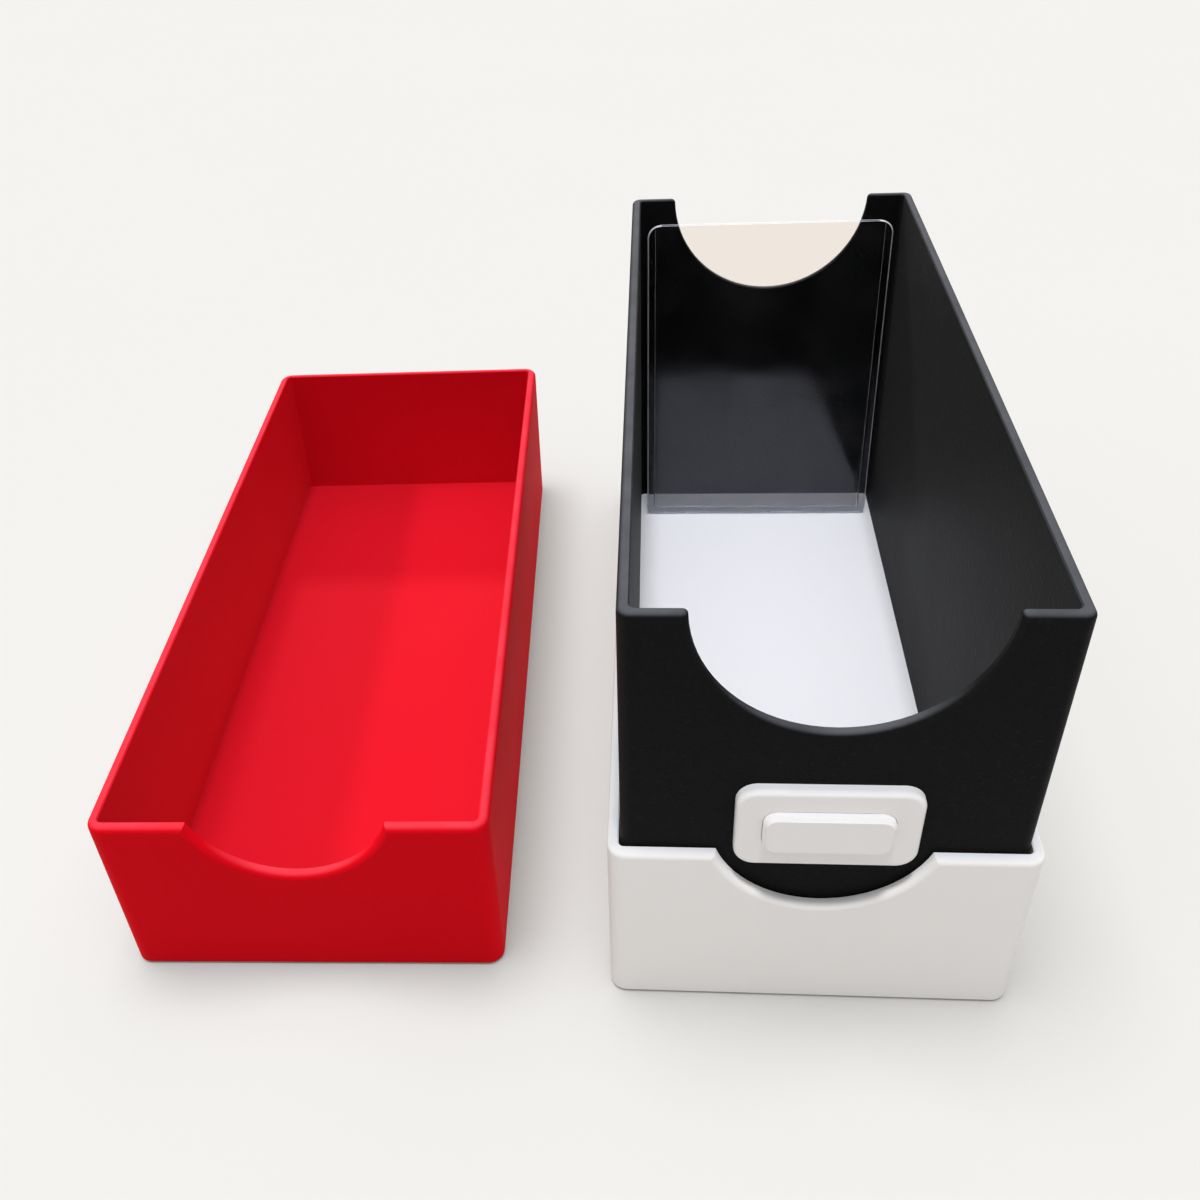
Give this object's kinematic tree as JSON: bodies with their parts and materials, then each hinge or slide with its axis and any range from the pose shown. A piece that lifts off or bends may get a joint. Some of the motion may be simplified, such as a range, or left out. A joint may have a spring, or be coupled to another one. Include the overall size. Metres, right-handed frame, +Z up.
{
  "type": "toploader storage box",
  "caption": "Telescoping storage box for rigid card holders: a tray base, a bottomless sleeve with half-round grips, a blank label and a lift-off tray lid lying open beside it.",
  "frame": {"origin": "centre of the base tray's underside, on the table", "axes": "+X to the right, +Y to the rear, away from the label, +Z up"},
  "size_m": [0.2143, 0.2243, 0.1108],
  "materials": {
    "white_shell": "satin",
    "black_shell": "fine grained satin",
    "red_shell": "satin",
    "white_label": "satin",
    "clear_sheet": "clear, glossy"
  },
  "bodies": {
    "base": {"base_tray": "white_shell"},
    "sleeve": {"card_sleeve": "black_shell", "label_plate": "white_label", "label_pad": "white_label"},
    "lid": {"lid_tray": "red_shell"},
    "holder": {"holder_front_sheet": "clear_sheet", "holder_back_sheet": "clear_sheet"}
  },
  "joints": [
    {"name": "sleeve_lift", "type": "slide", "parent": "base", "child": "sleeve", "axis": [0, 0, 1], "range_m": [0, 0.05]},
    {"name": "lid_lift", "type": "slide", "parent": "base", "child": "lid", "axis": [0, 0, 1], "range_m": [0, 0.12]},
    {"name": "holder_lift", "type": "slide", "parent": "base", "child": "holder", "axis": [0, 0, 1], "range_m": [0, 0.11]}
  ]
}
